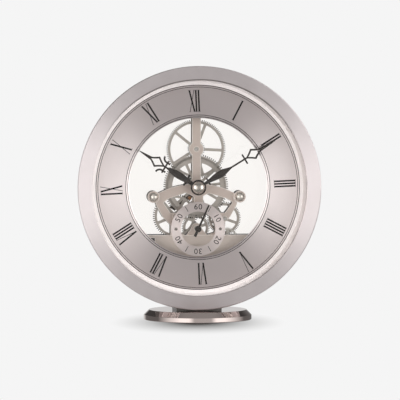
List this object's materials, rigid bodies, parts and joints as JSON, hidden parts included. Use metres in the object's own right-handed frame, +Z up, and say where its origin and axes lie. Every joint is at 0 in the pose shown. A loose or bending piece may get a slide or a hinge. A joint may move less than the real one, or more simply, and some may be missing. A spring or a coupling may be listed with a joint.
{
  "type": "skeleton desk clock",
  "caption": "Round metal desk clock on a disc base, with a chapter ring round an open skeleton movement, hour and minute hands, a small seconds dial and a rear setting knob.",
  "frame": {"origin": "centre of the base's underside, on the surface it stands on", "axes": "+Z up, the dial faces -Y, +X to the right of someone who reads it"},
  "size_m": [0.15, 0.0668, 0.1571],
  "materials": {
    "polished_nickel": "polished nickel plate",
    "brushed_case": "circular brushed, satin lacquer",
    "drum_satin": "satin brushed",
    "steel_screw": "turned steel",
    "felt": "dense felt",
    "clear_glass": "clear mineral glass",
    "clear_pane": "clear acrylic pane",
    "black_rubber": "soft black rubber",
    "white_surround": "silvered, gloss",
    "dial_silver": "circular brushed dial",
    "pin_brass": "turned brass",
    "dark_plastic": "moulded, fine texture",
    "plate_champagne": "champagne nickel plate, satin",
    "wheel_nickel": "nickel plated, stamped",
    "arbor_steel": "polished pivots",
    "hand_black": "matt black lacquer",
    "cell_wrap": "printed plain wrap",
    "contact_spring": "plated spring steel",
    "board_green": "solder mask",
    "chip_epoxy": "epoxy drop",
    "crystal_can": "drawn can",
    "stator_iron": "soft iron, stamped",
    "winding_copper": "enamelled copper wire",
    "bobbin_plastic": "natural moulding",
    "magnet_dark": "sintered magnet",
    "knob_black": "moulded, fluted"
  },
  "bodies": {
    "clock_case": {"base_disc": "polished_nickel", "base_pad": "felt", "case_saddle": "drum_satin", "base_screws": "steel_screw", "clamp_block": "steel_screw", "case_drum": "drum_satin", "front_bezel": "brushed_case", "front_glass": "clear_glass", "glass_gasket": "black_rubber", "dial_surround": "white_surround", "chapter_ring": "dial_silver", "dial_pins": "pin_brass", "support_ring": "dark_plastic", "front_plate": "plate_champagne", "back_plate": "plate_champagne", "plate_pillars": "arbor_steel", "pillar_nuts": "polished_nickel", "plate_screws": "steel_screw", "plate_bushes": "pin_brass", "block_cover": "plate_champagne", "movement_housing": "dark_plastic", "movement_screws": "steel_screw", "battery": "cell_wrap", "battery_contacts": "contact_spring", "circuit_board": "board_green", "control_chip": "chip_epoxy", "quartz_crystal": "crystal_can", "stator": "stator_iron", "coil_bobbin": "bobbin_plastic", "coil_winding": "winding_copper", "seconds_dial": "dial_silver", "seconds_dial_posts": "arbor_steel", "seconds_dial_screws": "steel_screw", "rear_cover": "drum_satin", "rear_window": "clear_pane", "rear_screws": "steel_screw", "door_pin": "steel_screw"},
    "minute_works": {"minute_arbor": "arbor_steel", "cannon_pinion": "arbor_steel", "clutch_spring": "contact_spring", "minute_hand": "hand_black", "cap_nut": "polished_nickel", "setting_knob": "knob_black"},
    "motion_works": {"motion_arbor": "arbor_steel", "motion_wheel": "wheel_nickel"},
    "hour_works": {"hour_wheel": "wheel_nickel", "hour_hand": "hand_black"},
    "seconds_works": {"seconds_arbor": "arbor_steel", "seconds_wheel": "wheel_nickel", "seconds_hand": "hand_black"},
    "third_works": {"third_arbor": "arbor_steel", "third_wheel": "wheel_nickel"},
    "centre_works": {"centre_wheel": "wheel_nickel"},
    "transfer_works": {"transfer_arbor": "arbor_steel", "transfer_wheel": "wheel_nickel"},
    "step_works": {"step_arbor": "arbor_steel", "step_wheel": "bobbin_plastic"},
    "rotor_works": {"rotor_arbor": "bobbin_plastic", "rotor_magnet": "magnet_dark"},
    "door_leaf": {"battery_door": "drum_satin"}
  },
  "joints": [
    {"name": "setting_turn", "type": "hinge", "parent": "clock_case", "child": "minute_works", "pos_m": [0, 0, 0.0821], "axis": [0, 1, 0], "continuous": true},
    {"name": "motion_turn", "type": "hinge", "parent": "clock_case", "child": "motion_works", "pos_m": [0, 0, 0.1054], "axis": [0, 1, 0], "continuous": true},
    {"name": "hour_turn", "type": "hinge", "parent": "clock_case", "child": "hour_works", "pos_m": [0, 0, 0.0821], "axis": [0, 1, 0], "continuous": true},
    {"name": "seconds_turn", "type": "hinge", "parent": "clock_case", "child": "seconds_works", "pos_m": [0, 0, 0.0564], "axis": [0, 1, 0], "continuous": true},
    {"name": "third_turn", "type": "hinge", "parent": "clock_case", "child": "third_works", "pos_m": [-0.01313, 0, 0.0639], "axis": [0, 1, 0], "continuous": true},
    {"name": "centre_turn", "type": "hinge", "parent": "clock_case", "child": "centre_works", "pos_m": [0, 0, 0.0821], "axis": [0, 1, 0], "continuous": true},
    {"name": "transfer_turn", "type": "hinge", "parent": "clock_case", "child": "transfer_works", "pos_m": [0.0177, 0, 0.06208], "axis": [0, 1, 0], "continuous": true},
    {"name": "step_turn", "type": "hinge", "parent": "clock_case", "child": "step_works", "pos_m": [0.01975, 0, 0.05043], "axis": [0, 1, 0], "continuous": true},
    {"name": "rotor_turn", "type": "hinge", "parent": "clock_case", "child": "rotor_works", "pos_m": [0.02652, 0, 0.04862], "axis": [0, 1, 0], "continuous": true},
    {"name": "door_swing", "type": "hinge", "parent": "clock_case", "child": "door_leaf", "pos_m": [0, 0.02887, 0.0269], "axis": [-1, 0, 0], "range_deg": [0, 100]}
  ],
  "couplings": [
    {"joint": "motion_turn", "follows": "setting_turn", "ratio": -0.28571},
    {"joint": "hour_turn", "follows": "setting_turn", "ratio": 0.083333},
    {"joint": "third_turn", "follows": "seconds_turn", "ratio": -0.125},
    {"joint": "centre_turn", "follows": "seconds_turn", "ratio": 0.016667},
    {"joint": "transfer_turn", "follows": "seconds_turn", "ratio": -0.83333},
    {"joint": "step_turn", "follows": "seconds_turn", "ratio": 5},
    {"joint": "rotor_turn", "follows": "seconds_turn", "ratio": -30}
  ]
}
